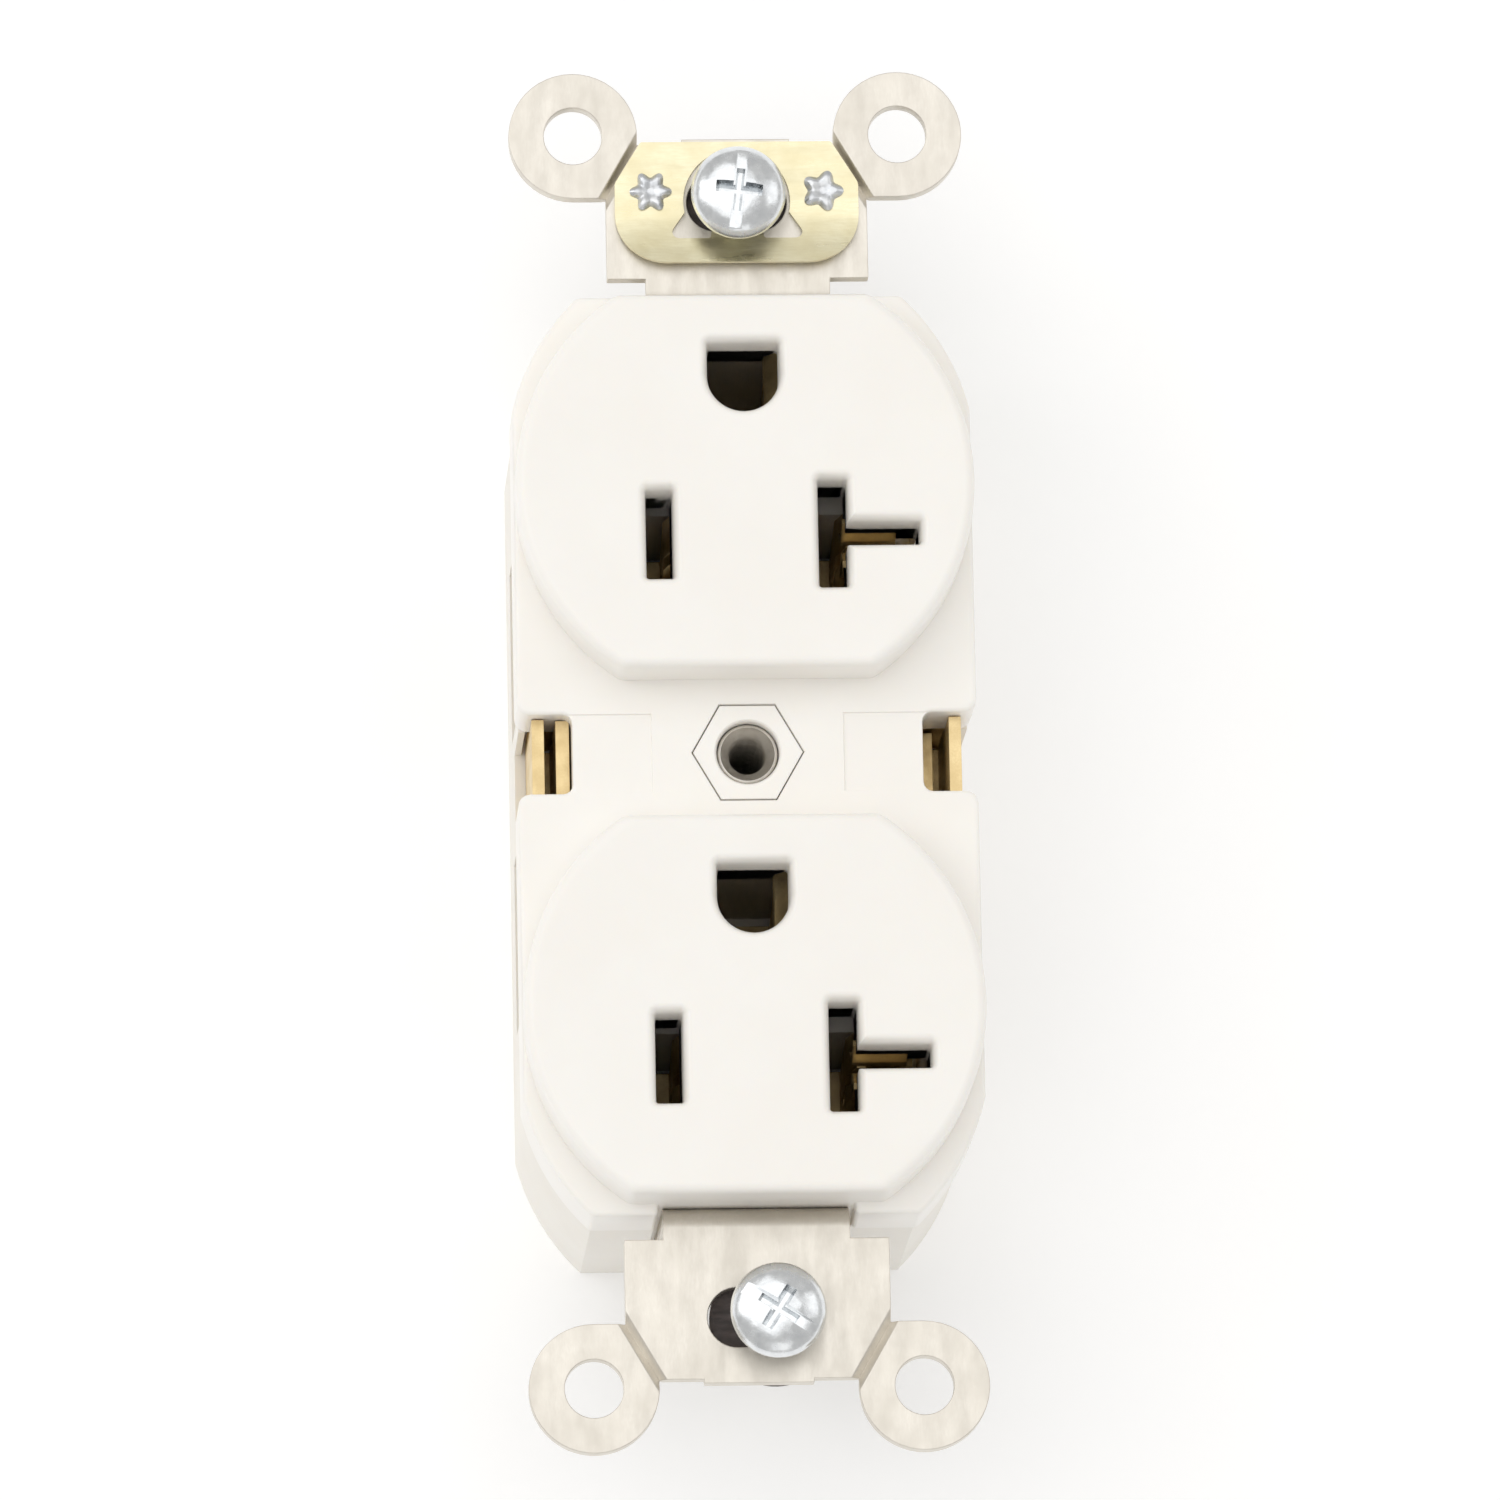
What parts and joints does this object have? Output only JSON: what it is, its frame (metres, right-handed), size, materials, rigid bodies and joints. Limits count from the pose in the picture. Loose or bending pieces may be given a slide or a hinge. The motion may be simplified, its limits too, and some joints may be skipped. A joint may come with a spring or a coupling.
{
  "type": "duplex wall outlet",
  "caption": "Duplex wall receptacle: moulded cover with grounded T-slot faces over a contact body, held in a wrap-round steel strap with washer ears and box screws.",
  "frame": {"origin": "on the axis of the wall plate's screw, in the wall plane, which is the back face of the strap's mounting plates and ears", "axes": "+Z out of the wall through the faces, +Y up as installed with the ground openings uppermost, +X right as seen from the front"},
  "size_m": [0.0338, 0.103, 0.031],
  "materials": {
    "strap_steel": "plated, fine brushed grain, satin",
    "clip_brass": "spring brass, pale, semi-bright",
    "cover_plastic": "moulded nylon, warm white, soft gloss",
    "body_plastic": "moulded nylon, warm white, satin",
    "post_metal": "plated steel tube, turned",
    "case_screw_zinc": "zinc plated",
    "contact_brass": "stamped brass, satin",
    "rivet_metal": "brass rivet",
    "retainer_fibre": "dark vulcanised fibre",
    "box_screw_zinc": "bright zinc plated",
    "clamp_steel": "zinc plated pressing",
    "hot_screw_brass": "brass plated screw",
    "neutral_screw_nickel": "nickel plated screw",
    "ground_screw_green": "green passivated screw"
  },
  "bodies": {
    "outlet": {"mounting_strap": "strap_steel", "self_ground_clip": "clip_brass", "clip_stakes": "strap_steel", "front_cover": "cover_plastic", "back_body": "body_plastic", "post_sleeve": "cover_plastic", "centre_post": "post_metal", "assembly_screws": "case_screw_zinc", "hot_bus": "contact_brass", "neutral_bus": "contact_brass", "hot_contact_upper": "contact_brass", "hot_contact_lower": "contact_brass", "neutral_contact_upper": "contact_brass", "neutral_contact_lower": "contact_brass", "ground_contact_upper": "contact_brass", "ground_contact_lower": "contact_brass", "contact_rivets": "rivet_metal", "ground_rivets": "rivet_metal"},
    "upper_retainer": {"screw_retainer_upper": "retainer_fibre"},
    "lower_retainer": {"screw_retainer_lower": "retainer_fibre"},
    "upper_box_screw": {"mounting_screw_upper": "box_screw_zinc"},
    "lower_box_screw": {"mounting_screw_lower": "box_screw_zinc"},
    "hot_upper_clamp": {"hot_clamp_upper": "clamp_steel"},
    "hot_upper_screw": {"hot_screw_upper": "hot_screw_brass"},
    "hot_lower_clamp": {"hot_clamp_lower": "clamp_steel"},
    "hot_lower_screw": {"hot_screw_lower": "hot_screw_brass"},
    "neutral_upper_clamp": {"neutral_clamp_upper": "clamp_steel"},
    "neutral_upper_screw": {"neutral_screw_upper": "neutral_screw_nickel"},
    "neutral_lower_clamp": {"neutral_clamp_lower": "clamp_steel"},
    "neutral_lower_screw": {"neutral_screw_lower": "neutral_screw_nickel"},
    "ground_clamp": {"ground_clamp": "clamp_steel"},
    "ground_screw": {"ground_screw": "ground_screw_green"}
  },
  "joints": [
    {"name": "upper_retainer_shift", "type": "slide", "parent": "outlet", "child": "upper_retainer", "axis": [1, 0, 0], "range_m": [-0.0019, 0.0019]},
    {"name": "lower_retainer_shift", "type": "slide", "parent": "outlet", "child": "lower_retainer", "axis": [1, 0, 0], "range_m": [-0.0032, 0.0006]},
    {"name": "upper_box_screw_slide", "type": "slide", "parent": "upper_retainer", "child": "upper_box_screw", "axis": [0, 0, 1], "range_m": [-0.0016, 0.012]},
    {"name": "lower_box_screw_slide", "type": "slide", "parent": "lower_retainer", "child": "lower_box_screw", "axis": [0, 0, 1], "range_m": [-0.0026, 0.012]},
    {"name": "hot_upper_clamp_slide", "type": "slide", "parent": "outlet", "child": "hot_upper_clamp", "axis": [-1, 0, 0], "range_m": [0, 0.00238]},
    {"name": "hot_upper_screw_turn", "type": "hinge", "parent": "hot_upper_clamp", "child": "hot_upper_screw", "pos_m": [-0.0139, 0.0093, -0.0093], "axis": [-1, 0, 0], "range_deg": [0, 1080]},
    {"name": "hot_lower_clamp_slide", "type": "slide", "parent": "outlet", "child": "hot_lower_clamp", "axis": [-1, 0, 0], "range_m": [0, 0.00238]},
    {"name": "hot_lower_screw_turn", "type": "hinge", "parent": "hot_lower_clamp", "child": "hot_lower_screw", "pos_m": [-0.0139, -0.0093, -0.0093], "axis": [-1, 0, 0], "range_deg": [0, 1080]},
    {"name": "neutral_upper_clamp_slide", "type": "slide", "parent": "outlet", "child": "neutral_upper_clamp", "axis": [1, 0, 0], "range_m": [0, 0.00238]},
    {"name": "neutral_upper_screw_turn", "type": "hinge", "parent": "neutral_upper_clamp", "child": "neutral_upper_screw", "pos_m": [0.0139, 0.0093, -0.0093], "axis": [1, 0, 0], "range_deg": [0, 1080]},
    {"name": "neutral_lower_clamp_slide", "type": "slide", "parent": "outlet", "child": "neutral_lower_clamp", "axis": [1, 0, 0], "range_m": [0, 0.00238]},
    {"name": "neutral_lower_screw_turn", "type": "hinge", "parent": "neutral_lower_clamp", "child": "neutral_lower_screw", "pos_m": [0.0139, -0.0093, -0.0093], "axis": [1, 0, 0], "range_deg": [0, 1080]},
    {"name": "ground_clamp_slide", "type": "slide", "parent": "outlet", "child": "ground_clamp", "axis": [1, 0, 0], "range_m": [0, 0.00238]},
    {"name": "ground_screw_turn", "type": "hinge", "parent": "ground_clamp", "child": "ground_screw", "pos_m": [0.0124, 0.0283, -0.01], "axis": [1, 0, 0], "range_deg": [0, 1080]}
  ],
  "couplings": [
    {"joint": "hot_upper_screw_turn", "follows": "hot_upper_clamp_slide", "rad_per_m": 7920},
    {"joint": "hot_lower_screw_turn", "follows": "hot_lower_clamp_slide", "rad_per_m": 7920},
    {"joint": "neutral_upper_screw_turn", "follows": "neutral_upper_clamp_slide", "rad_per_m": 7920},
    {"joint": "neutral_lower_screw_turn", "follows": "neutral_lower_clamp_slide", "rad_per_m": 7920},
    {"joint": "ground_screw_turn", "follows": "ground_clamp_slide", "rad_per_m": 7920}
  ]
}
